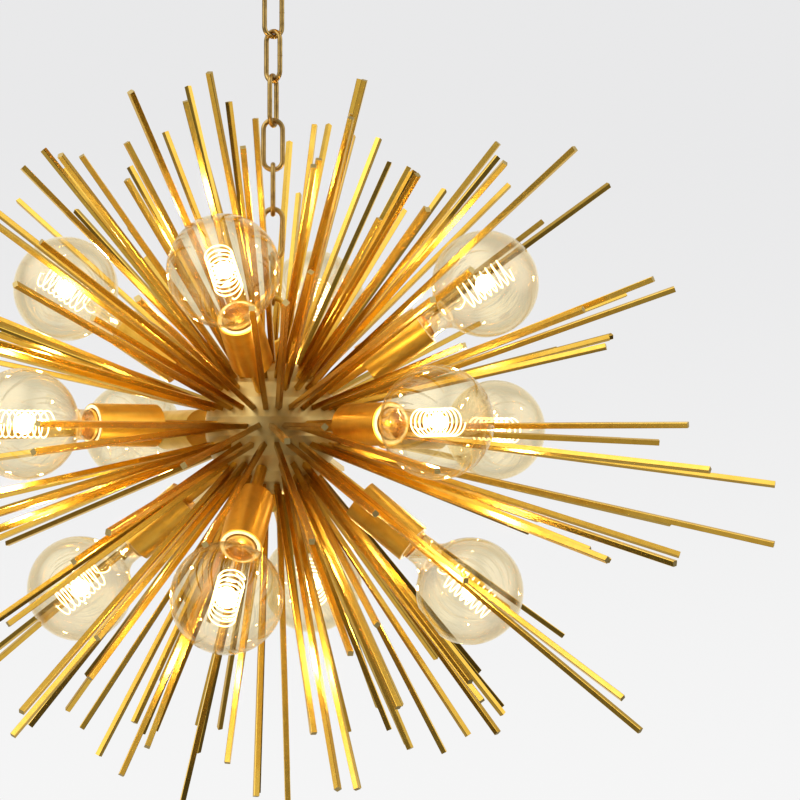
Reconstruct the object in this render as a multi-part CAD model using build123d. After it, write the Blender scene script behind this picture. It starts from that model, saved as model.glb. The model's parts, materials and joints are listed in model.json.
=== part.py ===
from build123d import *
import os
from dataclasses import dataclass
from math import asin, cos, pi, radians, sin, sqrt

# Sputnik chandelier: a faceted brass hub bristles with straight square rods and carries
# twelve globe lamps in three rings of four. It hangs from a ceiling canopy on a short
# chain. Millimetres, +Z up, origin on the ceiling face at the middle of the mounting bar.
# Azimuths are in degrees from -Y, the front, towards +X. Elevations are from level, up.

os.makedirs("parts", exist_ok=True)

# ------------------------------------------------------------------ running fits
LINK_GAP = 0.3              # between two linked wires of the chain
FIT_GAP = 0.1               # round a tube or nipple in its hole
CONTACT_GAP = 0.3           # between the lamp cap and the lampholder's contact

# ------------------------------------------------------------------ ceiling fitting
CANOPY_RADIUS = 60.0
CANOPY_DEPTH = 25.0
CANOPY_WALL = 1.2
CANOPY_CORNER = 7.0
BAR_LENGTH = 96.0
BAR_WIDTH = 18.0
BAR_THICKNESS = 2.5
CEILING_SCREW_SPACING = 70.0
CEILING_SCREW_HOLE = 4.6
NIPPLE_DIAMETER = 10.0
NIPPLE_HEADROOM = 0.5       # the nipple stops this far below the ceiling face
COLLAR_DIAMETER = 19.0
COLLAR_HEIGHT = 8.0
COLLAR_CHAMFER = 1.0
LOOP_WIRE = 5.0
LOOP_WIDTH = 24.0           # outside, both loops
LOOP_BASE_DIAMETER = 13.0
LOOP_BASE_HEIGHT = 5.0
CANOPY_LOOP_HEIGHT = 31.0   # outside
HUB_LOOP_HEIGHT = 46.0      # outside

# ------------------------------------------------------------------ chain
LINK_WIRE = 4.4
LINK_WIDTH = 21.5           # outside
LINK_PITCH = 40.0           # from one link to the next
CANOPY_LOOP_TURN = -65.0    # how each loop and link is turned about the chain, from +X
LINK_TURNS = (25.0, -45.0, 70.0, 0.0, 90.0, 0.0, 90.0)
HUB_LOOP_TURN = 0.0

# ------------------------------------------------------------------ hub
HUB_RADIUS = 60.0           # every facet of the hub touches a ball of this radius
HUB_WALL = 3.0
BAND_TOP_ELEVATION = 25.0   # where the side band meets the end shells, above and below
HUB_CAP_DIAMETER = 18.0
HUB_CAP_HEIGHT = 15.0
HUB_CAP_SHOULDER = 4.0
HUB_CAP_NECK = 14.0
TIE_ROD_DIAMETER = 10.0
TIE_ROD_ENTRY = 10.0        # how far the tie rod goes into the loop's cap and the finial
FINIAL_HEIGHT = 16.0
FINIAL_DIAMETER = 15.0
FINIAL_DOME = 6.0

# ------------------------------------------------------------------ lamps and holders
GLOBE_DIAMETER = 95.0
GLASS_WALL = 0.8
NECK_DIAMETER = 26.6
NECK_BLEND = 14.0
NECK_LENGTH = 62.5          # middle of the globe to the rim of the cap
TAIL_DIAMETER = 24.8        # glass cemented inside the cap
TAIL_LENGTH = 4.0
TAIL_WALL = 1.2
STEM_DIAMETER = 6.0
STEM_WAIST = 4.4
STEM_TOP = 24.0             # the glass stem's ends, back from the middle of the globe
STEM_FOOT = 50.0
CAP_DIAMETER = 26.2
CAP_RIM_DIAMETER = 26.8
CAP_RIM_HEIGHT = 2.5
CAP_WALL = 0.6
CAP_LENGTH = 27.5
CAP_CONE = 5.0
CAP_TIP_DIAMETER = 9.4
CAP_TIP_HEIGHT = 1.5
FILAMENT_WIRE = 1.4
FILAMENT_CREST = 2.5        # height of the wire's last bend over the top turn
FILAMENT_FOOT = 10.5        # where the wire leaves the stem's side, below the stem's top
FILAMENT_BEARING = -60.0    # the way it leaves, from where its coil starts
COIL_DIAMETER = 23.0        # to the middle of the wire
COIL_TURNS = 8
COIL_PITCH = 6.0
CUP_DIAMETER = 37.0
CUP_WALL = 0.9
CUP_SETBACK = 3.5           # from the rim of the cap back to the mouth of the cup
HOLDER_GAP = 0.3            # lampholder in its cup
HOLDER_WALL = 2.9
HOLDER_PROUD = 0.5          # how far the lampholder stands out of the cup
HOLDER_FLOOR = 4.0
HOLDER_BACK_DIAMETER = 28.0
HOLDER_BACK_LENGTH = 14.0
HOLDER_BOSS_DIAMETER = 16.0
HOLDER_BOSS_LENGTH = 12.6
SCREW_SHELL_WALL = 0.5
SCREW_SHELL_CLEARANCE = 0.4
SCREW_SHELL_RECESS = 2.5
CONTACT_DIAMETER = 8.0
CONTACT_HEIGHT = 6.2
ARM_DIAMETER = 10.0
ARM_BORE = 8.0
ARM_ENTRY = 9.0             # how far the arm goes into the back of the lampholder
ARM_TAIL = 8.0              # how far it reaches in from the hub's facets


@dataclass
class LampRing:
    """A ring of lamps, each pointing straight out from the middle of the hub."""

    elevation: float
    first_azimuth: float
    standoff: float         # from the hub's facets to the middle of the globe


LAMPS_PER_RING = 4
LAMP_RINGS = (
    LampRing(33.3, -12.3, 170.0),
    LampRing(0.0, 32.7, 190.0),
    LampRing(-39.2, -12.3, 170.0),
)

# ------------------------------------------------------------------ rods
ROD_WIDTH = 4.8             # square
ROD_EDGE = 0.4              # chamfer along its four edges
ROD_TAIL = 2.0              # how far a rod reaches inside the hub's wall
ROD_FIT = 0.05              # between a side of the rod and its hole
ROD_LEAN = 4.0              # the rods are set by hand, and stand up to this far off true
ROD_TO_LAMP = 2.5           # least air between a rod and a globe or a cup
TURN_STEP = 137.5           # from rod to rod, so that leans and sides follow no pattern
BORE_DEPTH = 12.0           # of the holes through the hub's wall


@dataclass
class RodRow:
    """A row of rods round the hub. The far half repeats the near one, for balance."""

    node: str
    elevation: float        # of the hub's facet
    droop: float            # how far the row hangs below square to its facet
    count: int
    first_azimuth: float
    lengths: tuple          # outside the hub


ROD_ROWS = (
    RodRow("rods_upper", 72, 0, 10, 0, (220, 230, 260, 220, 235)),
    RodRow("rods_upper", 60, 0, 16, 11, (205, 270, 155, 200, 205, 230, 250, 285)),
    RodRow("rods_upper", 47, 0, 24, 5,
           (235, 270, 240, 190, 270, 250, 260, 260, 250, 215, 325, 240)),
    RodRow("rods_upper", 34, 0, 28, 0,
           (250, 155, 275, 300, 345, 260, 260, 260, 340, 275, 235, 300, 260, 250)),
    RodRow("rods_middle", 16, 0, 32, -6,
           (230, 270, 330, 300, 210, 275, 330, 250, 320, 255, 290, 340, 300, 300, 230, 340)),
    RodRow("rods_middle", 0, 4, 32, -1,
           (240, 240, 290, 300, 300, 365, 325, 390, 290, 260, 300, 300, 300, 300, 355, 260)),
    RodRow("rods_middle", -16, 0, 32, 3.5,
           (250, 275, 330, 360, 400, 265, 400, 320, 280, 330, 315, 290, 310, 290, 340, 255)),
    RodRow("rods_lower", -34, 0, 28, 9,
           (275, 250, 290, 375, 385, 260, 260, 180, 300, 250, 330, 280, 260, 260)),
    RodRow("rods_lower", -47, 0, 24, 0,
           (260, 350, 250, 275, 290, 250, 250, 280, 310, 235, 290, 250)),
    RodRow("rods_lower", -60, 0, 16, 7, (245, 295, 255, 265, 270, 235, 290, 260)),
    RodRow("rods_lower", -72, 0, 10, 18, (295, 220, 230, 280, 275)),
)


# ------------------------------------------------------------------ helpers
def at(radius, height):
    """A point of a turned profile, in the XZ plane."""
    return Vector(radius, 0, height)


def lines(*points):
    """The straight edges from each point to the next."""
    return [Edge.make_line(a, b) for a, b in zip(points, points[1:])]


def turned(edges):
    """The solid turned about Z from a profile whose edges are closed by a last line."""
    last = Edge.make_line(edges[-1] @ 1, edges[0] @ 0)
    return revolve(make_face(Wire([*edges, last])), axis=Axis.Z)


def tube(outer_diameter, inner_diameter, bottom, top):
    """A straight tube about Z between two heights."""
    inner, outer = inner_diameter / 2, outer_diameter / 2
    return turned(lines(at(inner, bottom), at(outer, bottom), at(outer, top), at(inner, top)))


def post(diameter, bottom, top):
    """A solid cylinder about Z between two heights."""
    return Pos(0, 0, (bottom + top) / 2) * Cylinder(diameter / 2, top - bottom)


def bearing(azimuth, elevation):
    """The unit vector at an azimuth and an elevation."""
    a, e = radians(azimuth), radians(elevation)
    return Vector(sin(a) * cos(e), -cos(a) * cos(e), sin(e))


def facing(origin, axis):
    """The location at origin whose Z lies along axis and whose X is level."""
    return Plane(origin=origin, x_dir=Vector(0, 0, 1).cross(axis), z_dir=axis).location


def wire_ring(width, height, wire, turn):
    """An oval ring of round wire about the origin, upright and turned about Z."""
    middle = SlotOverall(height - wire, width - wire, rotation=90)
    path = (Plane.XZ * middle).face().outer_wire()
    section = Plane(origin=path @ 0, z_dir=path % 0) * Circle(wire / 2)
    return Rot(0, 0, turn) * sweep(section, path=path)


def save(node, *solids):
    """Write one node: a single piece, or a group of alike but separate pieces."""
    shape = solids[0] if len(solids) == 1 else Compound(children=list(solids))
    export_step(shape, f"parts/{node}.step")


# ------------------------------------------------------------------ heights down the chain
collar_top = -CANOPY_DEPTH
collar_bottom = collar_top - COLLAR_HEIGHT
canopy_loop_base = collar_bottom - LOOP_BASE_HEIGHT
canopy_loop_middle = canopy_loop_base + (LOOP_WIRE - CANOPY_LOOP_HEIGHT) / 2
canopy_wire = canopy_loop_base + LOOP_WIRE - CANOPY_LOOP_HEIGHT

link_height = LINK_PITCH + 2 * LINK_WIRE + LINK_GAP
loop_to_link = (LOOP_WIRE + LINK_WIRE) / 2 + LINK_GAP
first_link_middle = canopy_wire + loop_to_link + (LINK_WIRE - link_height) / 2
last_link_middle = first_link_middle - LINK_PITCH * (len(LINK_TURNS) - 1)
last_link_wire = last_link_middle + (LINK_WIRE - link_height) / 2

hub_loop_middle = last_link_wire + loop_to_link + (LOOP_WIRE - HUB_LOOP_HEIGHT) / 2
hub_cap_top = hub_loop_middle + (LOOP_WIRE - HUB_LOOP_HEIGHT) / 2
hub_top = hub_cap_top - HUB_CAP_HEIGHT
hub_middle = Vector(0, 0, hub_top - HUB_RADIUS)
hub_bottom = hub_middle.Z - HUB_RADIUS


# ------------------------------------------------------------------ ceiling fitting
def canopy_cup():
    """The spun cover, open to the ceiling, with a rounded corner and a middle hole."""
    hole = NIPPLE_DIAMETER / 2 + FIT_GAP
    inner = CANOPY_RADIUS - CANOPY_WALL
    outer_corner = CANOPY_RADIUS - CANOPY_CORNER
    inner_bend = CANOPY_CORNER - CANOPY_WALL
    lean = sqrt(0.5)
    corner_height = CANOPY_CORNER - CANOPY_DEPTH
    edges = lines(at(hole, -CANOPY_DEPTH), at(outer_corner, -CANOPY_DEPTH))
    edges.append(Edge.make_three_point_arc(
        at(outer_corner, -CANOPY_DEPTH),
        at(outer_corner + CANOPY_CORNER * lean, corner_height - CANOPY_CORNER * lean),
        at(CANOPY_RADIUS, corner_height)))
    edges += lines(at(CANOPY_RADIUS, corner_height), at(CANOPY_RADIUS, 0), at(inner, 0),
                   at(inner, corner_height))
    edges.append(Edge.make_three_point_arc(
        at(inner, corner_height),
        at(outer_corner + inner_bend * lean, corner_height - inner_bend * lean),
        at(outer_corner, CANOPY_WALL - CANOPY_DEPTH)))
    edges += lines(at(outer_corner, CANOPY_WALL - CANOPY_DEPTH),
                   at(hole, CANOPY_WALL - CANOPY_DEPTH))
    return turned(edges)


def mounting_bar():
    """The strip screwed to the ceiling, round-ended, with a middle hole for the nipple."""
    plan = SlotOverall(BAR_LENGTH, BAR_WIDTH)
    plan -= Circle(NIPPLE_DIAMETER / 2 + FIT_GAP)
    for side in (-1, 1):
        plan -= Pos(side * CEILING_SCREW_SPACING / 2, 0) * Circle(CEILING_SCREW_HOLE / 2)
    return extrude(plan, amount=-BAR_THICKNESS)


def canopy_collar():
    """The ring nut on the nipple that holds the cover up."""
    ring = tube(COLLAR_DIAMETER, NIPPLE_DIAMETER + 2 * FIT_GAP, collar_bottom, collar_top)
    rims = ring.edges().filter_by(GeomType.CIRCLE)
    return chamfer(rims.filter_by(lambda rim: 2 * rim.radius > LOOP_BASE_DIAMETER), COLLAR_CHAMFER)


def canopy_loop():
    """The loop that the chain hangs from, one piece with its nipple."""
    nipple = post(NIPPLE_DIAMETER, collar_bottom, -NIPPLE_HEADROOM)
    base = post(LOOP_BASE_DIAMETER, canopy_loop_base, collar_bottom)
    ring = wire_ring(LOOP_WIDTH, CANOPY_LOOP_HEIGHT, LOOP_WIRE, CANOPY_LOOP_TURN)
    return nipple + base + Pos(0, 0, canopy_loop_middle) * ring


save("canopy_cup", canopy_cup())
save("mounting_bar", mounting_bar())
save("canopy_collar", canopy_collar())
save("canopy_loop", canopy_loop())

# ------------------------------------------------------------------ chain
for number, link_turn in enumerate(LINK_TURNS):
    link = wire_ring(LINK_WIDTH, link_height, LINK_WIRE, link_turn)
    link_middle = first_link_middle - LINK_PITCH * number
    save(f"chain_link_{number + 1}", Pos(0, 0, link_middle) * link)


# ------------------------------------------------------------------ lamps
def glass_outline(shrink):
    """The globe's arc and the bend into its neck, offset inwards by shrink."""
    globe = GLOBE_DIAMETER / 2 - shrink
    neck = NECK_DIAMETER / 2 - shrink
    bend = NECK_BLEND + shrink
    bend_radius = neck + bend
    bend_height = -sqrt((globe + bend) ** 2 - bend_radius ** 2)
    meet = at(bend_radius, bend_height) * (globe / (globe + bend))
    side = globe * sqrt(0.5)
    to_meet = (meet - at(bend_radius, bend_height)).normalized()
    halfway = at(bend_radius, bend_height) + (to_meet + Vector(-1, 0, 0)).normalized() * bend
    return [
        Edge.make_three_point_arc(at(0, globe), at(side, side), meet),
        Edge.make_three_point_arc(meet, halfway, at(neck, bend_height)),
    ]


def lamp_glass():
    """The blown globe and neck, sealed to the flared foot of its inner stem."""
    neck = NECK_DIAMETER / 2
    tail = TAIL_DIAMETER / 2
    tail_end = -NECK_LENGTH - TAIL_LENGTH
    stem, waist = STEM_DIAMETER / 2, STEM_WAIST / 2
    seal = neck - NECK_LENGTH
    outer = glass_outline(0)
    inner = glass_outline(GLASS_WALL)
    foot = lines(
        outer[-1] @ 1, at(neck, -NECK_LENGTH), at(tail, -NECK_LENGTH), at(tail, tail_end),
        at(tail - TAIL_WALL, tail_end), at(tail - TAIL_WALL, -NECK_LENGTH),
        at(waist, -STEM_FOOT - TAIL_WALL), at(0, -STEM_FOOT - TAIL_WALL), at(0, -STEM_TOP),
        at(stem, -STEM_TOP), at(stem, -STEM_TOP - stem), at(waist, -STEM_TOP - 2 * stem),
        at(stem, -STEM_TOP - 3 * stem), at(stem, -STEM_FOOT),
        at(neck - GLASS_WALL, TAIL_WALL + GLASS_WALL - NECK_LENGTH), inner[-1] @ 1)
    inner_arcs = [
        Edge.make_three_point_arc(edge @ 1, edge @ 0.5, edge @ 0) for edge in reversed(inner)]
    return turned([*outer, *foot, *inner_arcs])


def lamp_cap():
    """The metal screw cap, a thin cup with a cone and a contact tip."""
    rim_top = -NECK_LENGTH
    cone_top = rim_top - CAP_LENGTH + CAP_CONE
    tip = rim_top - CAP_LENGTH
    rim, side, end = CAP_RIM_DIAMETER / 2, CAP_DIAMETER / 2, CAP_TIP_DIAMETER / 2
    return turned(lines(
        at(side - CAP_WALL, rim_top), at(rim, rim_top), at(rim, rim_top - CAP_RIM_HEIGHT),
        at(side, rim_top - CAP_RIM_HEIGHT), at(side, cone_top),
        at(end, tip + CAP_TIP_HEIGHT), at(end, tip), at(0, tip),
        at(0, tip + 2 * CAP_TIP_HEIGHT), at(end, tip + 2 * CAP_TIP_HEIGHT),
        at(side - CAP_WALL, cone_top + CAP_WALL)))


def biarc(start, start_way, end, end_way):
    """Two arcs that leave start along start_way and come to end along end_way."""
    span = end - start
    spread = 2 * (1 - start_way.dot(end_way))
    along = span.dot(start_way + end_way)
    handle = (sqrt(along ** 2 + spread * span.dot(span)) - along) / spread
    first = start + start_way * handle
    second = end - end_way * handle
    middle = (first + second) * 0.5
    return [Edge.make_tangent_arc(start, start_way, middle),
            Edge.make_tangent_arc(middle, (second - first).normalized(), end)]


def filament_path():
    """The wire's run: off the stem's side, up the coil, over, and down to the stem's top."""
    coil = COIL_DIAMETER / 2
    climb = COIL_PITCH / (2 * pi * coil)
    bottom = -COIL_TURNS * COIL_PITCH / 2
    bearing_off = radians(FILAMENT_BEARING)
    way = Vector(cos(bearing_off), sin(bearing_off), 0)
    start = way * (STEM_DIAMETER / 2) + Vector(0, 0, -STEM_TOP - FILAMENT_FOOT)
    place = start + way * FILAMENT_WIRE
    edges = [Edge.make_line(start, place)]
    for half_turn in range(2 * COIL_TURNS + 1):
        side = 1 if half_turn % 2 == 0 else -1
        next_place = Vector(side * coil, 0, bottom + COIL_PITCH * half_turn / 2)
        next_way = Vector(0, side, climb).normalized()
        edges += biarc(place, way, next_place, next_way)
        place, way = next_place, next_way
    crest = Vector(0, 0, place.Z + FILAMENT_CREST)
    edges += biarc(place, way, crest, Vector(0, 0, -1))
    edges.append(Edge.make_line(crest, Vector(0, 0, -STEM_TOP)))
    return edges


def least_gap(edges, wire):
    """The least air between two points of a wire that lie over two of its bends apart."""
    apart = pi * COIL_DIAMETER / 2
    samples = []
    run = 0.0
    for edge in edges:
        steps = 1 + int(edge.length / wire)
        samples += [(run + edge.length * i / steps, edge @ (i / steps)) for i in range(steps)]
        run += edge.length
    return min((p - q).length for i, (a, p) in enumerate(samples)
               for b, q in samples[i + 1:] if b - a > apart) - wire


def lamp_filament():
    """The coiled filament, one unbroken wire from the stem's side to its top."""
    edges = filament_path()
    print(f"filament: least gap to itself {least_gap(edges, FILAMENT_WIRE):.2f} mm")
    path = Wire(edges)
    section = Plane(origin=edges[0] @ 0, z_dir=edges[0] % 0) * Circle(FILAMENT_WIRE / 2)
    return sweep(section, path=path)


# ------------------------------------------------------------------ lampholders
cup_mouth = -NECK_LENGTH - CUP_SETBACK
holder_front = cup_mouth + HOLDER_PROUD
contact_top = -NECK_LENGTH - CAP_LENGTH - CONTACT_GAP
holder_floor = contact_top - CONTACT_HEIGHT
holder_shoulder = holder_floor - HOLDER_FLOOR
boss_top = holder_shoulder - HOLDER_BACK_LENGTH
holder_back = boss_top - HOLDER_BOSS_LENGTH
cup_base = holder_back - CUP_WALL
holder_radius = CUP_DIAMETER / 2 - CUP_WALL - HOLDER_GAP


def holder_cup():
    """The satin cup round a lampholder, with a hole in its base for the arm."""
    outer = CUP_DIAMETER / 2
    inner = outer - CUP_WALL
    hole = ARM_DIAMETER / 2 + FIT_GAP
    return turned(lines(
        at(hole, cup_base), at(outer, cup_base), at(outer, cup_mouth),
        at(inner, cup_mouth), at(inner, holder_back), at(hole, holder_back)))


def holder_body():
    """The insulating lampholder, a collar with a floor and a boss that takes the arm."""
    bore = holder_radius - HOLDER_WALL
    back = HOLDER_BACK_DIAMETER / 2
    boss = HOLDER_BOSS_DIAMETER / 2
    hole = ARM_DIAMETER / 2 + FIT_GAP
    hole_end = holder_back + ARM_ENTRY
    return turned(lines(
        at(0, holder_floor), at(bore, holder_floor), at(bore, holder_front),
        at(holder_radius, holder_front), at(holder_radius, holder_shoulder),
        at(back, holder_shoulder), at(back, boss_top), at(boss, boss_top),
        at(boss, holder_back), at(hole, holder_back), at(hole, hole_end), at(0, hole_end)))


def holder_contacts():
    """The screw shell that takes the lamp's cap, and the contact on the holder's floor."""
    inner = CAP_RIM_DIAMETER + 2 * SCREW_SHELL_CLEARANCE
    shell = tube(inner + 2 * SCREW_SHELL_WALL, inner, holder_floor,
                 holder_front - SCREW_SHELL_RECESS)
    return [shell, post(CONTACT_DIAMETER, holder_floor, contact_top)]


def arm(reach):
    """The tube that carries a lampholder from inside the hub, for one lamp's reach."""
    return tube(ARM_DIAMETER, ARM_BORE, HUB_RADIUS - ARM_TAIL - reach, holder_back + ARM_ENTRY)


lamp_axes = []
glass, cap, filament = lamp_glass(), lamp_cap(), lamp_filament()
cup, body, contacts = holder_cup(), holder_body(), holder_contacts()
arms, cups, bodies, all_contacts = [], [], [], []
for ring in LAMP_RINGS:
    reach = HUB_RADIUS + ring.standoff
    ring_arm = arm(reach)
    for place in range(LAMPS_PER_RING):
        axis = bearing(ring.first_azimuth + place * 360 / LAMPS_PER_RING, ring.elevation)
        spot = facing(hub_middle + axis * reach, axis)
        lamp_axes.append((axis, reach))
        number = len(lamp_axes)
        save(f"lamp_{number}_glass", spot * glass)
        save(f"lamp_{number}_cap", spot * cap)
        save(f"lamp_{number}_filament", spot * filament)
        arms.append(spot * ring_arm)
        cups.append(spot * cup)
        bodies.append(spot * body)
        all_contacts += [spot * piece for piece in contacts]
save("holder_arms", *arms)
save("holder_cups", *cups)
save("lampholders", *bodies)
save("holder_contacts", *all_contacts)


# ------------------------------------------------------------------ rods
def rod_line(row, place):
    """Where a rod leaves the hub, and the way it points: square but for droop and lean."""
    azimuth = row.first_azimuth + place * 360 / row.count
    base = hub_middle + bearing(azimuth, row.elevation) * HUB_RADIUS
    step = radians(TURN_STEP * (place % (row.count // 2) + row.elevation))
    aside = ROD_LEAN * cos(step) / cos(radians(row.elevation))
    return base, bearing(azimuth + aside, row.elevation - row.droop + ROD_LEAN * sin(step))


def clears_lamps(base, axis):
    """Whether a rod from base along axis stays clear of every globe, cup and arm."""
    half_rod = ROD_WIDTH * sqrt(0.5)
    for lamp_axis, reach in lamp_axes:
        for station, wide in ((reach, GLOBE_DIAMETER), (reach + cup_base, CUP_DIAMETER)):
            away = (hub_middle + lamp_axis * station - base).cross(axis).length
            if axis.dot(lamp_axis) > 0 and away < wide / 2 + half_rod + ROD_TO_LAMP:
                return False
    return True


def bar(base, axis, section, start, end):
    """A straight bar along axis between two distances from base."""
    return facing(base + axis * start, axis) * extrude(section, amount=end - start)


rods = {}
hub_holes = []
for row in ROD_ROWS:
    for place in range(row.count):
        base, axis = rod_line(row, place)
        if not clears_lamps(base, axis):
            continue
        turn = Rot(0, 0, TURN_STEP * place)
        section = turn * chamfer(Rectangle(ROD_WIDTH, ROD_WIDTH).vertices(), ROD_EDGE)
        length = row.lengths[place % len(row.lengths)]
        rod = bar(base, axis, section, -HUB_WALL - ROD_TAIL, length)
        rods.setdefault(row.node, []).append(rod)
        opening = turn * Rectangle(ROD_WIDTH + 2 * ROD_FIT, ROD_WIDTH + 2 * ROD_FIT)
        hole = bar(base, axis, opening, -BORE_DEPTH / 2, BORE_DEPTH / 2)
        hub_holes.append((base, hole))
for node, bars in rods.items():
    save(node, *bars)
print(f"rods: {sum(len(bars) for bars in rods.values())}")


# ------------------------------------------------------------------ hub
def facet_corner(lower, upper, radius):
    """Where two facets that touch a ball of this radius meet."""
    half = radians(upper - lower) / 2
    middle = radians(lower + upper) / 2
    corner = radius / cos(half)
    return at(corner * cos(middle), corner * sin(middle))


def facet_corners(elevations, radius):
    """The corners between facets, from the lowest pair up."""
    return [facet_corner(a, b, radius) for a, b in zip(elevations, elevations[1:])]


facet_elevations = sorted(row.elevation for row in ROD_ROWS)


def hub_band():
    """The side band, three facets high."""
    sides = [e for e in facet_elevations if abs(e) < BAND_TOP_ELEVATION]
    around = [e for e in facet_elevations if abs(e) > BAND_TOP_ELEVATION]
    facets = [max(e for e in around if e < 0), *sides, min(e for e in around if e > 0)]
    outer = facet_corners(facets, HUB_RADIUS)
    inner = facet_corners(facets, HUB_RADIUS - HUB_WALL)
    return turned(lines(*outer, *reversed(inner)))


def end_shell(side):
    """The upper (side 1) or lower (side -1) shell, from the band to the flat end."""
    steep = sorted(abs(e) for e in facet_elevations if e * side > BAND_TOP_ELEVATION)
    next_to = max(abs(e) for e in facet_elevations if abs(e) < BAND_TOP_ELEVATION)
    facets = [next_to, *steep, 90]
    hole = TIE_ROD_DIAMETER / 2 + FIT_GAP
    inner_radius = HUB_RADIUS - HUB_WALL
    outer = [*facet_corners(facets, HUB_RADIUS), at(hole, HUB_RADIUS)]
    inner = [*facet_corners(facets, inner_radius), at(hole, inner_radius)]
    shell = turned(lines(*outer, *reversed(inner)))
    return shell if side > 0 else shell.mirror(Plane.XY)


for axis, _ in lamp_axes:
    base = hub_middle + axis * HUB_RADIUS
    hole = Cylinder(ARM_DIAMETER / 2 + FIT_GAP, BORE_DEPTH)
    hub_holes.append((base, facing(base, axis) * hole))


def bored(shell):
    """A piece of the hub in its place, with the holes for the rods and the arms."""
    placed = Pos(hub_middle) * shell
    box = placed.bounding_box()
    lowest, highest = box.min.Z - BORE_DEPTH, box.max.Z + BORE_DEPTH
    return placed - [hole for base, hole in hub_holes if lowest < base.Z < highest]


def hub_loop():
    """The loop on top of the hub, one piece with the cap that the tie rod screws into."""
    shoulder = post(HUB_CAP_DIAMETER, hub_top, hub_top + HUB_CAP_SHOULDER)
    neck = post(HUB_CAP_NECK, hub_top, hub_cap_top)
    ring = wire_ring(LOOP_WIDTH, HUB_LOOP_HEIGHT, LOOP_WIRE, HUB_LOOP_TURN)
    bore = post(TIE_ROD_DIAMETER + 2 * FIT_GAP, hub_top, hub_top + TIE_ROD_ENTRY + FIT_GAP)
    return shoulder + neck + Pos(0, 0, hub_loop_middle) * ring - bore


def hub_finial():
    """The domed nut under the hub."""
    radius = FINIAL_DIAMETER / 2
    bore = TIE_ROD_DIAMETER / 2 + FIT_GAP
    bottom = hub_bottom - FINIAL_HEIGHT
    bore_end = hub_bottom - TIE_ROD_ENTRY - FIT_GAP
    edges = lines(at(0, bore_end), at(bore, bore_end), at(bore, hub_bottom),
                  at(radius, hub_bottom), at(radius, bottom + FINIAL_DOME))
    ball = (radius ** 2 + FINIAL_DOME ** 2) / (2 * FINIAL_DOME)
    halfway = asin(radius / ball) / 2
    edges.append(Edge.make_three_point_arc(
        at(radius, bottom + FINIAL_DOME),
        at(ball * sin(halfway), bottom + ball - ball * cos(halfway)),
        at(0, bottom)))
    return turned(edges)


save("hub_band", bored(hub_band()))
save("hub_upper_shell", bored(end_shell(1)))
save("hub_lower_shell", bored(end_shell(-1)))
save("hub_loop", hub_loop())
save("hub_finial", hub_finial())
save("tie_rod", post(TIE_ROD_DIAMETER, hub_bottom - TIE_ROD_ENTRY, hub_top + TIE_ROD_ENTRY))
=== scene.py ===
"""The looks of the sputnik chandelier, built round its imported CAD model.

The rods, hub, cups, chain, canopy and glass globes are the CAD model's own nodes and get
their finishes here. New pieces stand for the glowing filaments and add what is too fine for
the solids: the wires in each lamp, the rolled threads of the caps and the chain's welds.
Lengths are in metres, with the origin on the ceiling and +Z up.
"""
import json
import logging
from dataclasses import dataclass
from enum import Enum
from math import cos, pi, radians

import bpy
import numpy as np
from mathutils import Euler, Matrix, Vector

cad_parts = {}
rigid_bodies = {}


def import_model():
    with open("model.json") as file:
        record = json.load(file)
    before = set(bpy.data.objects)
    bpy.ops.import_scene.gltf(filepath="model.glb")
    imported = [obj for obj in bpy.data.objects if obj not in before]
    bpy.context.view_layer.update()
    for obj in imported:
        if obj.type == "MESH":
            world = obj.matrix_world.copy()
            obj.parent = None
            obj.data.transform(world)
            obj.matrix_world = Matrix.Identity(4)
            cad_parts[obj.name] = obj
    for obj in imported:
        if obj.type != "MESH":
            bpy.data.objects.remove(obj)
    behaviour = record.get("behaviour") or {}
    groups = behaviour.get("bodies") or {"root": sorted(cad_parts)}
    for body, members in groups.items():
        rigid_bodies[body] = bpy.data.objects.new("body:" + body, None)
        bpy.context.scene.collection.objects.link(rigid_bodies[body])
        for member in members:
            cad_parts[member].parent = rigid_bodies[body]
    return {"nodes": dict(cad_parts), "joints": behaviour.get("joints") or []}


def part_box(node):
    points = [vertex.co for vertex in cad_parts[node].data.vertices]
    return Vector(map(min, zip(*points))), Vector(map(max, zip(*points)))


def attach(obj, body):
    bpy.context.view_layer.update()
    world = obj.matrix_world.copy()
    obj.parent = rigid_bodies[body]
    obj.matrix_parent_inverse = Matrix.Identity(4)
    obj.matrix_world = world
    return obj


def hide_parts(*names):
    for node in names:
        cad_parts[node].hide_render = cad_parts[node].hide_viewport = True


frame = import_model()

log = logging.getLogger("chandelier")
MM = 0.001
UP = Vector((0, 0, 1))


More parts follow.
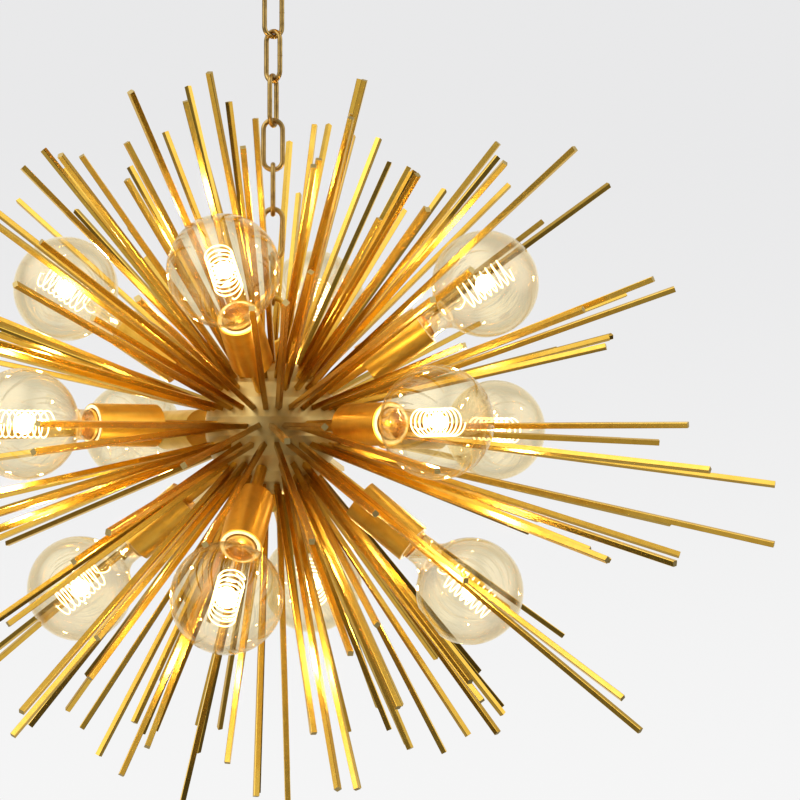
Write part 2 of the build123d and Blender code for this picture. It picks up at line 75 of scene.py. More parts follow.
# ---------------------------------------------------------------- shader expressions
class Signal:
    """One output in a shader tree, which Python expressions can work with."""

    def __init__(self, graph: "Graph", socket: bpy.types.NodeSocket) -> None:
        """Wraps an output socket of a node in graph."""
        self.graph = graph
        self.socket = socket

    def _with(self, operation: str, other: "Value", swapped: bool = False) -> "Signal":
        """Adds the Math or Vector Math node for one operator.

        Args:
            operation: the node's operation.
            other: the other side of the operator.
            swapped: whether the other side comes first.

        Returns:
            The node's output.
        """
        first, second = (other, self) if swapped else (self, other)
        if self.socket.type == "VECTOR":
            return self.graph.vector(operation, first, second)
        return self.graph.math(operation, first, second)

    def __add__(self, other: "Value") -> "Signal":
        """self + other."""
        return self._with("ADD", other)

    __radd__ = __add__

    def __sub__(self, other: "Value") -> "Signal":
        """self - other."""
        return self._with("SUBTRACT", other)

    def __rsub__(self, other: "Value") -> "Signal":
        """other - self."""
        return self._with("SUBTRACT", other, swapped=True)

    def __mul__(self, other: "Value") -> "Signal":
        """self * other."""
        return self._with("MULTIPLY", other)

    __rmul__ = __mul__

    def __pow__(self, other: "Value") -> "Signal":
        """self ** other."""
        return self._with("POWER", other)

    def __rpow__(self, other: "Value") -> "Signal":
        """other ** self."""
        return self._with("POWER", other, swapped=True)


Colour = tuple[float, float, float]
Span = tuple[float, float]
Value = Signal | float | tuple


class Graph:
    """A node tree that is built from expressions on its signals."""

    def __init__(self, tree: bpy.types.NodeTree) -> None:
        """Empties a tree and makes ready to fill it."""
        self.tree = tree
        tree.nodes.clear()

    def node(self, kind: str, settings: dict, sockets: dict) -> bpy.types.Node:
        """Adds one node.

        Args:
            kind: Blender's name of the node type.
            settings: what is set before the sockets, such as a Math node's operation.
            sockets: the values or links of the inputs, by name or number.

        Returns:
            The new node.
        """
        made = self.tree.nodes.new(kind)
        for name, value in settings.items():
            setattr(made, name, value)
        for name, value in sockets.items():
            if isinstance(value, Signal):
                self.tree.links.new(value.socket, made.inputs[name])
            elif isinstance(value, tuple) and made.inputs[name].type == "RGBA":
                made.inputs[name].default_value = (*value[:3], 1.0)
            else:
                made.inputs[name].default_value = value
        return made

    def out(self, made: bpy.types.Node, name: str | int = 0) -> Signal:
        """One output of a node."""
        return Signal(self, made.outputs[name])

    def math(self, operation: str, *values: Value, clamp: bool = False) -> Signal:
        """A Math node on numbers."""
        settings = {"operation": operation, "use_clamp": clamp}
        return self.out(self.node("ShaderNodeMath", settings, dict(enumerate(values))))

    def vector(self, operation: str, first: Value, second: Value = 0.0) -> Signal:
        """A Vector Math node, in which a number stands for a vector of three of it."""
        sides = [(v, v, v) if isinstance(v, (int, float)) else v for v in (first, second)]
        made = self.node("ShaderNodeVectorMath", {"operation": operation}, dict(enumerate(sides)))
        return self.out(made, "Value" if operation in ("DOT_PRODUCT", "LENGTH") else "Vector")

    def mix(self, share: Value, first: Value, second: Value) -> Signal:
        """A colour between two, by share. The Mix node's colours are its sockets 6 and 7."""
        made = self.node("ShaderNodeMix", {"data_type": "RGBA"}, {0: share, 6: first, 7: second})
        return self.out(made, 2)

    def step(self, value: Signal, start: float, end: float) -> Signal:
        """A smooth step from 0 at start to 1 at end."""
        settings = {"interpolation_type": "SMOOTHSTEP"}
        sockets = {"Value": value, "From Min": start, "From Max": end}
        return self.out(self.node("ShaderNodeMapRange", settings, sockets))

    def noise(self, place: Value, scale: float, detail: float = 2.0,
              run: Value | None = None) -> Signal:
        """Noise in three dimensions, or in four with run as the fourth."""
        sockets = {"Vector": place, "Scale": scale, "Detail": detail}
        settings = {"noise_dimensions": "3D" if run is None else "4D"}
        if run is not None:
            sockets["W"] = run
        return self.out(self.node("ShaderNodeTexNoise", settings, sockets))

    def height(self, place: Signal) -> Signal:
        """The third of a vector's numbers."""
        return self.out(self.node("ShaderNodeSeparateXYZ", {}, {0: place}), "Z")

    def combined(self, x: Value, y: Value, z: Value) -> Signal:
        """A vector from three numbers."""
        return self.out(self.node("ShaderNodeCombineXYZ", {}, {0: x, 1: y, 2: z}))

    def bump(self, height: Signal, strength: float, distance: float) -> Signal:
        """A normal roughened by height."""
        sockets = {"Height": height, "Strength": strength, "Distance": distance}
        return self.out(self.node("ShaderNodeBump", {}, sockets))

    def place(self, output: str = "Object") -> Signal:
        """Where on the object a point is, or its normal, or a direction in the world."""
        return self.out(self.node("ShaderNodeTexCoord", {}, {}), output)

    def principled(self, sockets: dict) -> Signal:
        """The main surface shader."""
        return self.out(self.node("ShaderNodeBsdfPrincipled", {}, sockets))

    def finish(self, shader: Signal, kind: str = "ShaderNodeOutputMaterial") -> None:
        """Links the shader to the tree's output."""
        self.node(kind, {}, {"Surface": shader})


def new_material(name: str) -> tuple[bpy.types.Material, Graph]:
    """A material with an empty node tree."""
    material = bpy.data.materials.new(name)
    material.use_nodes = True
    return material, Graph(material.node_tree)


# ---------------------------------------------------------------- finishes
@dataclass(frozen=True)
class RodBrass:
    """Lightly brushed brass bar. Its grain runs out from the middle of the hub.

    A scale is noise per metre, or per unit of direction. A share is how much of a colour
    the effect brings at most, and a rough is what it adds to the roughness.
    """

    centre: Vector
    deep: Colour = (0.62, 0.34, 0.035)
    bright: Colour = (0.94, 0.67, 0.16)
    # painted shade: the brown that the rods darken to near the hub, where they crowd and shade one
    # another
    root: Colour = (0.30, 0.14, 0.012)
    cut_end: Colour = (0.66, 0.52, 0.24)
    tone_scale: float = 9.0
    tone_share: float = 0.9
    streak_scale: float = 60.0
    streak_run: float = 3.0
    streak_share: float = 0.35
    smudge_scale: float = 30.0
    smudge_share: float = 0.18
    root_shade_span: Span = (0.06, 0.20)
    root_shade_share: float = 0.45
    end_facing: Span = (0.80, 0.92)
    smooth: float = 0.16
    streak_rough: float = 0.04
    smudge_rough: float = 0.07
    end_rough: float = 0.28

    def material(self) -> bpy.types.Material:
        """Builds the finish.

        Returns:
            The material. The tone varies from rod to rod by noise over the directions from
            the centre, long streaks follow those directions outwards, the roots near the hub
            are darkened towards brown as painted shade, and a face that looks along its
            direction is a dull sawn end.
        """
        material, g = new_material("rod_brass")
        offset = g.place() - tuple(self.centre)
        away = g.vector("LENGTH", offset)
        heading = g.vector("NORMALIZE", offset)
        along = g.vector("DOT_PRODUCT", heading, g.place("Normal"))
        end = g.step(along, *self.end_facing)
        tone = g.noise(heading, self.tone_scale, 1.0)
        streak = g.noise(heading, self.streak_scale, 0.0, run=away * self.streak_run)
        smudge = g.noise(offset, self.smudge_scale, 1.0)
        # painted shade: near is 1 at the hub and 0 further out, and it darkens the rods' roots
        # towards the root colour
        near = 1.0 - g.step(away, *self.root_shade_span)
        shade = g.math("MULTIPLY_ADD", streak, self.streak_share, tone * self.tone_share,
                       clamp=True)
        colour = g.mix(shade, self.deep, self.bright)
        colour = g.mix(smudge * self.smudge_share, colour, self.deep)
        colour = g.mix(near * self.root_shade_share, colour, self.root)
        colour = g.mix(end, colour, self.cut_end)
        rough = (self.smooth + streak * self.streak_rough + smudge * self.smudge_rough
                 + end * self.end_rough)
        g.finish(g.principled({"Base Color": colour, "Metallic": 1.0, "Roughness": rough}))
        return material


class Grain(Enum):
    """Which way a turned or drawn brass piece is brushed."""

    ABOUT_ITS_ARM = "lines at one distance from the middle of the hub"
    ABOUT_UPRIGHT = "lines at one height"
    NONE = "cast or drawn, with no lines"


@dataclass(frozen=True)
class SatinBrass:
    """Satin brass, with fine brushed lines and a soft, cloudy tarnish."""

    name: str
    centre: Vector
    grain: Grain
    clean: Colour = (0.92, 0.61, 0.13)
    tarnished: Colour = (0.72, 0.44, 0.08)
    roughness: float = 0.28
    cloud_scale: float = 55.0
    cloud_detail: float = 4.0
    cloud_span: Span = (0.38, 0.72)
    cloud_share: float = 0.75
    cloud_rough: float = 0.10
    cast_scale: float = 900.0
    line_scale: float = 2600.0
    line_wander: float = 0.012
    line_share: float = 0.22
    line_rough: float = 0.12
    line_relief: Span = (0.10, 0.1 * MM)

    def lines(self, g: Graph, offset: Signal) -> Signal:
        """Noise that changes quickly across the brushed lines and slowly along them."""
        if self.grain is Grain.NONE:
            return g.noise(offset, self.cast_scale)
        if self.grain is Grain.ABOUT_ITS_ARM:
            across = g.vector("LENGTH", offset)
        else:
            across = g.height(offset)
        place = g.combined(0.0, 0.0, across) + offset * self.line_wander
        return g.noise(place, self.line_scale)

    def material(self) -> bpy.types.Material:
        """Builds the finish.

        Returns:
            The material. The lines are noise over one distance, so they run round the
            piece, and slow noise over the place clouds the colour.
        """
        material, g = new_material(self.name)
        offset = g.place() - tuple(self.centre)
        cloud = g.noise(offset, self.cloud_scale, self.cloud_detail)
        patch = g.step(cloud, *self.cloud_span)
        line = self.lines(g, offset)
        colour = g.mix(patch * self.cloud_share, self.clean, self.tarnished)
        colour = g.mix(line * self.line_share, colour, self.tarnished)
        rough = self.roughness + line * self.line_rough + patch * self.cloud_rough
        g.finish(g.principled({
            "Base Color": colour, "Metallic": 1.0, "Roughness": rough,
            "Normal": g.bump(line, *self.line_relief)}))
        return material


@dataclass(frozen=True)
class ClearGlass:
    """Thin blown glass, clear with a breath of amber, that mirrors more at its edges."""

    tint: Colour = (1.0, 0.975, 0.90)
    mirror: Colour = (1.0, 0.91, 0.68)
    least: float = 0.08
    most: float = 0.72
    falloff: float = 3.2
    roughness: float = 0.02
    wave_scale: float = 26.0
    wave_relief: Span = (0.25, 4.0 * MM)

    def material(self) -> bpy.types.Material:
        """Builds the finish.

        Returns:
            The material, a clear shader mixed with a mirror by how far the wall turns
            from the eye, and a faint waviness from the blowing.
        """
        material, g = new_material("clear_glass")
        wave = g.noise(g.place(), self.wave_scale, 1.0)
        facing = g.out(g.node("ShaderNodeLayerWeight", {}, {"Blend": 0.5}), "Facing")
        share = facing ** self.falloff * (self.most - self.least) + self.least
        clear = g.out(g.node("ShaderNodeBsdfTransparent", {}, {"Color": self.tint}))
        shine = g.principled({
            "Base Color": self.mirror, "Metallic": 1.0, "Roughness": self.roughness,
            "Normal": g.bump(wave, *self.wave_relief)})
        g.finish(g.out(g.node("ShaderNodeMixShader", {}, {0: share, 1: clear, 2: shine})))
        return material


@dataclass(frozen=True)
class GlowingWire:
    """A white-hot filament, whose glow is a little uneven along the wire."""

    glow: Colour = (1.0, 0.74, 0.36)
    hottest: Colour = (1.0, 0.84, 0.55)
    cold: Colour = (0.3, 0.2, 0.1)
    roughness: float = 0.5
    strength: float = 3.5
    scale: float = 60.0
    unevenness: float = 0.5

    def material(self) -> bpy.types.Material:
        """Builds the finish, which is seen but lights nothing: a point light does that."""
        material, g = new_material("glowing_wire")
        uneven = g.noise(g.place(), self.scale, 1.0)
        glow = g.mix(uneven * self.unevenness, self.glow, self.hottest)
        g.finish(g.principled({
            "Base Color": self.cold, "Roughness": self.roughness,
            "Emission Color": glow, "Emission Strength": self.strength}))
        material.cycles.emission_sampling = "NONE"
        return material


@dataclass(frozen=True)
class Porcelain:
    """Glazed cream porcelain, faintly mottled."""

    body: Colour = (0.86, 0.83, 0.74)
    fleck: Colour = (0.74, 0.68, 0.55)
    mottle_scale: float = 160.0
    mottle_span: Span = (0.45, 0.75)
    mottle_relief: Span = (0.08, 0.2 * MM)
    mottle_rough: float = 0.12
    roughness: float = 0.22
    glaze: float = 0.4

    def material(self) -> bpy.types.Material:
        """Builds the finish, with slow noise between the two colours."""
        material, g = new_material("porcelain")
        mottle = g.noise(g.place(), self.mottle_scale, 3.0)
        colour = g.mix(g.step(mottle, *self.mottle_span), self.body, self.fleck)
        g.finish(g.principled({
            "Base Color": colour, "Roughness": self.roughness + mottle * self.mottle_rough,
            "Coat Weight": self.glaze, "Normal": g.bump(mottle, *self.mottle_relief)}))
        return material


@dataclass(frozen=True)
class PlatedSteel:
    """Dull zinc or nickel plate on steel."""

    name: str
    light: Colour
    dark: Colour
    roughness: float = 0.30
    spangle_scale: float = 240.0
    spangle_rough: float = 0.2
    spangle_relief: Span = (0.10, 0.2 * MM)

    def material(self) -> bpy.types.Material:
        """Builds the finish, with the plate's spangle as coarse noise."""
        material, g = new_material(self.name)
        spangle = g.noise(g.place(), self.spangle_scale, 3.0)
        g.finish(g.principled({
            "Base Color": g.mix(spangle, self.dark, self.light), "Metallic": 1.0,
            "Roughness": self.roughness + spangle * self.spangle_rough,
            "Normal": g.bump(spangle, *self.spangle_relief)}))
        return material


# ---------------------------------------------------------------- surfaces
def surface(name: str, points: np.ndarray) -> bpy.types.Object:
    """Makes a closed mesh from a grid of points, smooth shaded, with a UV map.

    The last column joins the first, each cell of the grid is one face, and the first and
    last rows are closed with one flat face each. u runs across the surface and v along it.

    Args:
        name: the piece's name.
        points: rows along the surface, columns across it, then x, y and z. A cell's
            outside is to the left of rows cross columns.

    Returns:
        The object, at the origin.
    """
    rows, columns = points.shape[:2]
    index = np.arange(rows * columns).reshape(rows, columns)
    beside = np.roll(index, -1, axis=1)
    cells = np.stack([index[:-1], beside[:-1], beside[1:], index[1:]], axis=-1)
    faces = cells.reshape(-1, 4).tolist() + [index[0, ::-1].tolist(), index[-1].tolist()]
    mesh = bpy.data.meshes.new(name)
    mesh.from_pydata(points.reshape(-1, 3).tolist(), [], faces)
    mesh.shade_smooth()
    along, across = np.meshgrid(np.arange(rows - 1), np.arange(columns), indexing="ij")
    u = np.stack([across, across + 1, across + 1, across], axis=-1) / columns
    v = np.stack([along, along, along + 1, along + 1], axis=-1) / (rows - 1)
    places = np.zeros((len(mesh.loops), 2), np.float32)
    places[:u.size] = np.stack([u.ravel(), v.ravel()], axis=1)
    mesh.uv_layers.new(name="across_along").uv.foreach_set("vector", places.ravel())
    made = bpy.data.objects.new(name, mesh)
    bpy.context.scene.collection.objects.link(made)
    return made


def tube(name: str, path: np.ndarray, radius: np.ndarray | float, across: np.ndarray,
         sides: int) -> bpy.types.Object:
    """Carries a circle along a path.

    Each point is path + radius (cos a * first + sin a * second), where second is the unit
    cross product of the path's tangent with across, and first completes the set.

    Args:
        name: the piece's name.
        path: points along the middle of the tube.
        radius: one radius, or one for each point.
        across: a direction that is never along the path.
        sides: how many columns the circle has.

    Returns:
        The tube, closed at both ends.
    """
    tangent = np.gradient(path, axis=0)
    tangent /= np.linalg.norm(tangent, axis=1, keepdims=True)
    second = np.cross(tangent, np.broadcast_to(across, path.shape))
    second /= np.linalg.norm(second, axis=1, keepdims=True)
    first = np.cross(second, tangent)
    angle = np.linspace(0, 2 * pi, sides, endpoint=False)[None, :, None]
    size = np.broadcast_to(radius, len(path))[:, None, None]
    ring = np.cos(angle) * first[:, None] + np.sin(angle) * second[:, None]
    return surface(name, path[:, None] + size * ring)


def joined(name: str, pieces: list[bpy.types.Object]) -> bpy.types.Object:
    """Joins new pieces into the first of them and names it."""
    with bpy.context.temp_override(
            active_object=pieces[0], selected_editable_objects=pieces,
            selected_objects=pieces):
        bpy.ops.object.join()
    pieces[0].name = pieces[0].data.name = name
    return pieces[0]


def dress(material: bpy.types.Material, *nodes: str) -> None:
    """Gives CAD nodes their finish."""
    for node in nodes:
        slots = frame["nodes"][node].data.materials
        slots.clear()
        slots.append(material)
    log.info("%s on %s", material.name, ", ".join(nodes))


def add(piece: bpy.types.Object, body: str, material: bpy.types.Material) -> None:
    """Gives a new piece its finish and its body, and reports it.

    Args:
        piece: the new object.
        body: the CAD body that it moves with.
        material: the finish.
    """
    piece.data.materials.clear()
    piece.data.materials.append(material)
    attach(piece, body)
    log.info("%s: %d faces on %s", piece.name, len(piece.data.polygons), body)


# ---------------------------------------------------------------- sub-assemblies
@dataclass
class CeilingFitting:
    """The canopy, its bar, collar and loop."""

    brass: SatinBrass = SatinBrass("canopy_brass", Vector(), Grain.ABOUT_UPRIGHT)
    steel: PlatedSteel = PlatedSteel("zinc_steel", (0.66, 0.66, 0.64), (0.5, 0.5, 0.5))

    def build(self) -> None:
        """Dresses the fitting's CAD nodes."""
        dress(self.brass.material(), "canopy_cup", "canopy_collar", "canopy_loop")
        dress(self.steel.material(), "mounting_bar")


@dataclass
class Chain:
    """The links, each with the bead of its butt weld."""

    brass: SatinBrass = SatinBrass(
        "chain_brass", Vector(), Grain.NONE, clean=(0.60, 0.42, 0.16),
        tarnished=(0.32, 0.22, 0.09), roughness=0.30, cloud_scale=120.0)
    wire: float = 4.4 * MM
    width: float = 21.5 * MM
    bead_length: float = 1.3 * MM
    bead_rise: float = 0.22 * MM
    bead_sink: float = 0.08
    bead_rows: int = 9
    bead_sides: int = 20

    def weld(self, number: int, turn: Vector) -> bpy.types.Object:
        """Makes the weld bead half way down one side of a link.

        The bead is a surface about the wire, of radius wire / 2 + rise * (sin^2(pi s) -
        sink) for s from 0 to 1 along it, so it starts and ends just inside the wire.

        Args:
            number: the link's number, from the top.
            turn: the level direction in which the link is wide.

        Returns:
            The bead.
        """
        low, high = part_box(f"chain_link_{number}")
        middle = np.array((low + high) / 2 + turn * (self.width - self.wire) / 2)
        s = np.linspace(0, 1, self.bead_rows)
        path = middle + (s[:, None] - 0.5) * np.array([0, 0, self.bead_length])
        rise = self.bead_rise * (np.sin(pi * s) ** 2 - self.bead_sink)
        return tube(f"link_{number}_weld", path, self.wire / 2 + rise, np.array(turn),
                    self.bead_sides)

    def build(self) -> None:
        """Dresses the links and adds their welds. A link is wide along its lower hinge."""
        brass = self.brass.material()
        turns = {joint["parent"]: Vector(joint["axis"]) for joint in frame["joints"]
                 if joint["type"] == "hinge"}
        for number in range(1, len(turns)):
            body = f"link_{number}"
            dress(brass, f"chain_link_{number}")
            add(self.weld(number, turns[body]), body, brass)


@dataclass
class Hub:
    """The faceted hub, its loop and finial, the arms and lampholders, and the rods."""

    centre: Vector
    facet_clean: Colour = (0.74, 0.58, 0.27)
    facet_tarnished: Colour = (0.54, 0.40, 0.16)
    facet_roughness: float = 0.36
    facet_clouds: float = 34.0
    contact_clean: Colour = (0.78, 0.56, 0.28)
    steel_light: Colour = (0.6, 0.6, 0.58)
    steel_dark: Colour = (0.4, 0.4, 0.4)

    def build(self) -> None:
        """Dresses the hub's CAD nodes."""
        satin = SatinBrass("satin_brass", self.centre, Grain.ABOUT_ITS_ARM)
        turned = SatinBrass("turned_brass", self.centre, Grain.ABOUT_UPRIGHT)
        brushed = SatinBrass(
            "brushed_brass", self.centre, Grain.ABOUT_UPRIGHT, self.facet_clean,
            self.facet_tarnished, self.facet_roughness, self.facet_clouds)
        contact = SatinBrass("contact_brass", self.centre, Grain.NONE, self.contact_clean)
        steel = PlatedSteel("tie_rod_steel", self.steel_light, self.steel_dark)
        dress(satin.material(), "holder_cups", "holder_arms")
        dress(turned.material(), "hub_loop", "hub_finial")
        dress(brushed.material(), "hub_band", "hub_upper_shell", "hub_lower_shell")
        dress(steel.material(), "tie_rod")
        dress(Porcelain().material(), "lampholders")
        dress(contact.material(), "holder_contacts")
        dress(RodBrass(self.centre).material(), "rods_upper", "rods_middle", "rods_lower")


@dataclass
class LampFinishes:
    """The materials that all lamps share."""

    glass: bpy.types.Material
    cap: bpy.types.Material
    glow: bpy.types.Material
    wire: bpy.types.Material


@dataclass
class Lamp:
    """One globe lamp. Its own Z runs out along the holder, from the middle of the globe."""

    number: int
    centre: Vector
    axis: Vector
    coil_radius: float = 11.5 * MM
    coil_turns: int = 8
    coil_pitch: float = 6.0 * MM
    coil_steps: int = 28
    coil_sides: int = 8
    coil_wire: float = 0.62 * MM
    foot_height: float = -34.5 * MM
    foot_bearing: float = -60.0
    foot_steps: int = 16
    support_wire: float = 0.35 * MM
    support_sides: int = 6
    hook_crest: float = 2.5 * MM
    hook_steps: int = 16
    hook_tail: float = 1.0 * MM
    post_steps: int = 12
    stem_radius: float = 3.0 * MM
    stem_top: float = -24.0 * MM
    stem_foot: float = -49.0 * MM
    lead_wire: float = 0.28 * MM
    lead_top: float = -27.0 * MM
    lead_aside: float = 0.9 * MM
    lead_splay: float = 0.5 * MM
    lead_steps: int = 14
    thread_top: float = -65.6 * MM
    thread_bottom: float = -83.0 * MM
    thread_radius: float = 13.05 * MM
    thread_depth: float = 0.34 * MM
    thread_pitch: float = 3.63 * MM
    thread_fade: float = 1 / 12
    thread_rows: int = 46
    thread_sides: int = 40
    light_power: float = 0.52
    light_colour: Colour = (1.0, 0.79, 0.48)
    light_radius: float = 8 * MM

    @property
    def body(self) -> str:
        """The lamp's CAD body, whose name the names of its pieces start with."""
        return f"lamp_{self.number}"

    @property
    def basis(self) -> np.ndarray:
        """The lamp's own X, which is level, its Y and its Z."""
        level = UP.cross(self.axis).normalized()
        return np.array([level, self.axis.cross(level), self.axis])

    def placed(self, points: np.ndarray) -> np.ndarray:
        """Puts points of the lamp's own frame where the lamp is."""
        return points @ self.basis + np.array(self.centre)

    def coil(self) -> bpy.types.Object:
        """Makes the glowing wire.

        Its middle line is a helix, (R cos a, R sin a, pitch * (a / 2 pi - turns / 2)), and
        before it a foot whose radius grows from the stem's to R as a quarter of a sine,
        and whose height and angle ease from where it leaves the stem to the helix.

        Returns:
            The wire.
        """
        bottom = -self.coil_turns * self.coil_pitch / 2
        t = np.linspace(0, 1, self.foot_steps, endpoint=False)
        ease = t * t * (3 - 2 * t)
        foot_radius = self.stem_radius + (self.coil_radius - self.stem_radius) * np.sin(t * pi / 2)
        foot_angle = radians(self.foot_bearing) * (1 - ease)
        foot_height = self.foot_height + (bottom - self.foot_height) * ease
        angle = np.linspace(0, 2 * pi * self.coil_turns, self.coil_turns * self.coil_steps + 1)
        radius = np.concatenate([foot_radius, np.full(angle.shape, self.coil_radius)])
        turn = np.concatenate([foot_angle, angle])
        height = np.concatenate([foot_height, bottom + self.coil_pitch * angle / (2 * pi)])
        path = np.stack([radius * np.cos(turn), radius * np.sin(turn), height], axis=1)
        return tube(f"{self.body}_coil", self.placed(path), self.coil_wire,
                    np.array(self.axis), self.coil_sides)

    def hook(self) -> bpy.types.Object:
        """Makes the coil's support, a post up the lamp's axis that ends in a round hook.

        The hook is half an ellipse, (R/2 (1 + cos a), 0, top + crest sin a) for a from 0
        to 180 degrees, and the post is straight.

        Returns:
            The support.
        """
        top = self.coil_turns * self.coil_pitch / 2
        a = np.linspace(0, pi, self.hook_steps)
        x = self.coil_radius / 2 * (1 + np.cos(a))
        hook = np.stack([x, 0 * a, top + self.hook_crest * np.sin(a)], axis=1)
        height = np.linspace(top - self.hook_tail, self.stem_top - self.hook_tail,
                             self.post_steps)
        post = np.stack([0 * height, 0 * height, height], axis=1)
        path = self.placed(np.concatenate([hook, post]))
        return tube("hook", path, self.support_wire, self.basis[1], self.support_sides)

    def lead(self, side: int) -> bpy.types.Object:
        """Makes one of the two lead wires in the stem: x is a slow cosine of the height."""
        z = np.linspace(self.stem_foot, self.lead_top, self.lead_steps)
        share = (z - z[0]) / (z[-1] - z[0])
        x = side * (self.lead_aside + self.lead_splay * np.cos(share * pi))
        path = self.placed(np.stack([x, 0 * z, z], axis=1))
        return tube("lead", path, self.lead_wire, self.basis[1], self.support_sides)

    def thread(self) -> bpy.types.Object:
        """Makes the rolled thread round the cap.

        Its radius is the cap's plus depth * (0.5 + 0.5 cos(2 pi z / pitch - a)) at the
        angle a and height z, and it eases to nothing at both ends.

        Returns:
            The thread.
        """
        z = np.linspace(self.thread_top, self.thread_bottom, self.thread_rows)[:, None]
        a = np.linspace(0, 2 * pi, self.thread_sides, endpoint=False)[None, :]
        share = (z - self.thread_top) / (self.thread_bottom - self.thread_top)
        fade = np.clip(np.minimum(share, 1 - share) / self.thread_fade, 0, 1)
        wave = 0.5 + 0.5 * np.cos(2 * pi * z / self.thread_pitch - a)
        radius = self.thread_radius + self.thread_depth * wave * fade
        points = np.stack([radius * np.cos(a), -radius * np.sin(a), z + 0 * a], axis=-1)
        return surface(f"{self.body}_thread", self.placed(points))

    def light(self) -> None:
        """Puts the filament's light in the lamp."""
        data = bpy.data.lights.new(f"{self.body}_light", "POINT")
        data.energy = self.light_power
        data.color = self.light_colour
        data.shadow_soft_size = self.light_radius
        lamp = bpy.data.objects.new(data.name, data)
        bpy.context.scene.collection.objects.link(lamp)
        lamp.location = self.centre
        lamp.visible_camera = False
        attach(lamp, self.body)

    def build(self, finishes: LampFinishes) -> None:
        """Makes the lamp's fine pieces and its light, and dresses its CAD nodes."""
        dress(finishes.glass, f"{self.body}_glass")
        dress(finishes.cap, f"{self.body}_cap")
        coil = self.coil()
        add(coil, self.body, finishes.glow)
        coil.visible_glossy = coil.visible_diffuse = False
        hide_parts(f"{self.body}_filament")
        wires = joined(f"{self.body}_wires", [self.hook(), self.lead(-1), self.lead(1)])
        add(wires, self.body, finishes.wire)
        add(self.thread(), self.body, finishes.cap)
        self.light()


def lamps(hub_centre: Vector) -> list[Lamp]:
    """Finds each lamp from its slide joint and the far side of its globe.

    Args:
        hub_centre: the point that all lamps face away from.

    Returns:
        The lamps, in the order of their numbers.
    """
    found = []
    for joint in frame["joints"]:
        if joint["type"] != "slide":
            continue
        number = int(joint["child"].split("_")[1])
        axis = Vector(joint["axis"])
        mesh = frame["nodes"][f"lamp_{number}_glass"].data
        places = np.zeros(len(mesh.vertices) * 3, np.float32)
        mesh.vertices.foreach_get("co", places)
        places = places.reshape(-1, 3) - np.array(hub_centre)
        out = places @ np.array(axis)
        globe = np.linalg.norm(places - out[:, None] * np.array(axis), axis=1).max()
        found.append(Lamp(number, hub_centre + axis * float(out.max() - globe), axis))
    return sorted(found, key=lambda lamp: lamp.number)


# ---------------------------------------------------------------- studio and camera
@dataclass(frozen=True)
class Patch:
    """A soft patch of light on the walls of the room.

    aim points at its middle, spread is the angle in degrees from there to where it ends,
    and strength is its brightness in the middle.
    """

    aim: tuple[float, float, float]
    spread: float
    strength: float


@dataclass
class Studio:
    """A round, pale studio: a floor that curves up into a wall, and soft light."""

    floor: float = -3.4
    radius: float = 11.0
    cove: float = 3.0
    cove_steps: int = 14
    flat_span: Span = (0.01, 7.5)
    height: float = 9.0
    sides: int = 72
    pale: Colour = (0.77, 0.77, 0.77)
    shaded: Colour = (0.69, 0.69, 0.695)
    shade_span: Span = (-2.2, 1.4)
    dark: float = 0.07
    warmth: Colour = (1.0, 0.985, 0.96)
    patches: tuple[Patch, ...] = (
        Patch((-0.7, -0.5, 0.8), 60, 1.5),
        Patch((1.0, -0.3, 0.5), 50, 1.1),
        Patch((0.0, 1.0, 0.1), 80, 0.7),
        Patch((-0.3, -0.4, -1.0), 60, 0.6),
    )

    def paper(self) -> bpy.types.Material:
        """The backdrop's finish: it shines of itself, evenly, and fades a little upwards."""
        material, g = new_material("studio_pale")
        rise = g.step(g.height(g.place()), *self.shade_span)
        g.finish(g.principled({
            "Base Color": (0.0, 0.0, 0.0), "Roughness": 1.0, "Specular IOR Level": 0.0,
            "Emission Color": g.mix(rise, self.pale, self.shaded), "Emission Strength": 1.0}))
        return material

    def backdrop(self) -> None:
        """Makes the floor and wall, which only the camera sees.

        The surface is a profile turned about Z: flat out to the cove, then a quarter
        circle of radius cove, then straight up.
        """
        bend = np.linspace(0, pi / 2, self.cove_steps)
        inner, outer = self.flat_span
        flat = np.array([[inner, 0.0], [outer, 0.0]])
        arc = np.stack([self.radius - self.cove + self.cove * np.sin(bend),
                        self.cove * (1 - np.cos(bend))], axis=1)
        wall = np.array([[self.radius, self.height]])
        profile = np.concatenate([flat, arc, wall])
        a = np.linspace(0, 2 * pi, self.sides, endpoint=False)
        points = np.stack([
            profile[:, :1] * np.cos(a), profile[:, :1] * np.sin(a),
            profile[:, 1:] + self.floor + 0 * a], axis=-1)
        backdrop = surface("studio", points[::-1])
        backdrop.data.materials.append(self.paper())
        backdrop.visible_glossy = False
        backdrop.visible_diffuse = False
        backdrop.visible_shadow = False

    def world(self) -> None:
        """Fills the dark room with broad, soft patches of light, each about one direction."""
        world = bpy.data.worlds.new("room")
        world.use_nodes = True
        g = Graph(world.node_tree)
        towards = g.place("Generated")
        light = self.dark
        for patch in self.patches:
            aim = Vector(patch.aim).normalized()
            near = g.vector("DOT_PRODUCT", towards, tuple(aim))
            light = g.step(near, cos(radians(patch.spread)), 1.0) * patch.strength + light
        tone = g.combined(light, light, light) * self.warmth
        glow = g.out(g.node("ShaderNodeBackground", {}, {"Color": tone}))
        g.finish(glow, "ShaderNodeOutputWorld")
        bpy.context.scene.world = world

    def build(self) -> None:
        """Makes the studio."""
        self.backdrop()
        self.world()
        log.info("studio built")


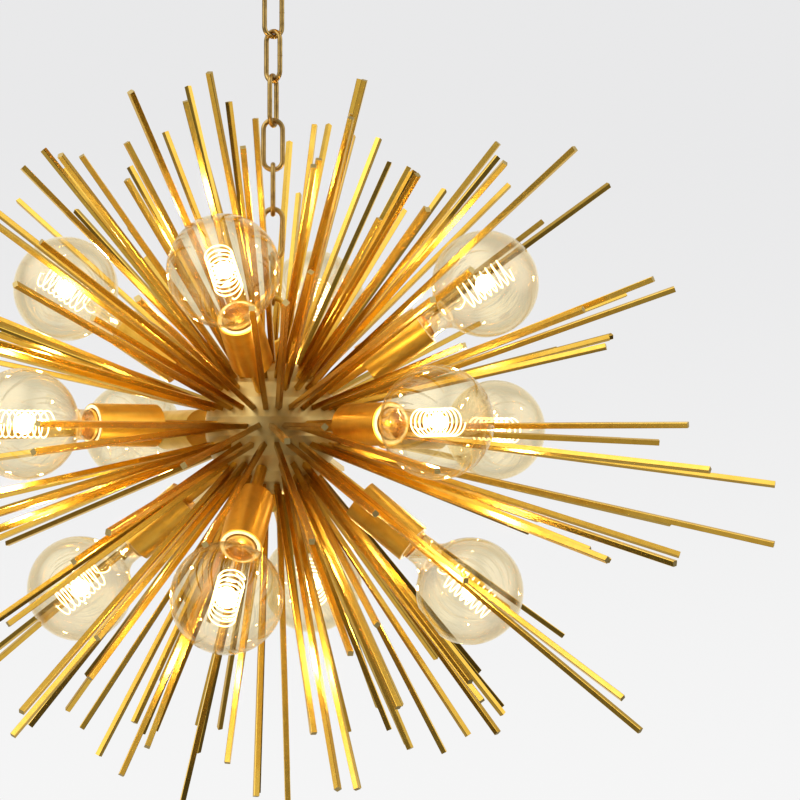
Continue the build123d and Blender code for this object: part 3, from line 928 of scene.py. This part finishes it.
@dataclass
class PhotoCamera:
    """The camera of the photograph, fitted to its twelve globes."""

    centre: Vector
    offset: tuple[float, float, float] = (0.0, -2.5367, -0.0478)
    yaw: float = 0.04495
    pitch: float = 0.02845
    focal_share: float = 2831.3 / 800
    sensor: float = 36.0
    clip: Span = (0.01, 100.0)

    def build(self) -> None:
        """Makes the scene's camera, turned right by yaw and up by pitch."""
        data = bpy.data.cameras.new("camera")
        data.sensor_width = self.sensor
        data.lens = self.sensor * self.focal_share
        data.clip_start, data.clip_end = self.clip
        camera = bpy.data.objects.new("camera", data)
        bpy.context.scene.collection.objects.link(camera)
        camera.rotation_euler = Euler((pi / 2 + self.pitch, 0.0, -self.yaw))
        camera.location = self.centre + Vector(self.offset)
        bpy.context.scene.camera = camera


@dataclass
class Picture:
    """How light becomes picture: plain colours, and a soft glow about the filaments."""

    clear_layers: int = 32
    glow_threshold: float = 1.2
    glow_strength: float = 0.02
    glow_size: float = 0.4

    def build(self) -> None:
        """Sets the scene's view and its glow."""
        scene = bpy.context.scene
        scene.view_settings.view_transform = "Standard"
        scene.view_settings.look = "Medium High Contrast"
        scene.cycles.transparent_max_bounces = self.clear_layers
        scene.use_nodes = True
        g = Graph(scene.node_tree)
        picture = g.out(g.node("CompositorNodeRLayers", {}, {}))
        glow = g.out(g.node(
            "CompositorNodeGlare", {"glare_type": "FOG_GLOW", "quality": "HIGH"},
            {"Image": picture, "Threshold": self.glow_threshold,
             "Strength": self.glow_strength, "Size": self.glow_size}))
        g.node("CompositorNodeComposite", {}, {"Image": glow})


def main() -> None:
    """Builds the chandelier's looks, its studio and its camera."""
    logging.basicConfig(level=logging.INFO, format="%(name)s: %(message)s")
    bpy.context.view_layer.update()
    band_low, band_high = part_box("hub_band")
    centre = (band_low + band_high) / 2
    CeilingFitting().build()
    Chain().build()
    Hub(centre).build()
    cap = SatinBrass("cap_brass", centre, Grain.NONE, clean=(0.85, 0.60, 0.26), roughness=0.22)
    wire = PlatedSteel("lead_wire", (0.7, 0.66, 0.6), (0.5, 0.46, 0.4))
    finishes = LampFinishes(
        ClearGlass().material(), cap.material(), GlowingWire().material(), wire.material())
    for lamp in lamps(centre):
        lamp.build(finishes)
    Studio().build()
    PhotoCamera(centre).build()
    Picture().build()


if __name__ == "__main__":
    main()
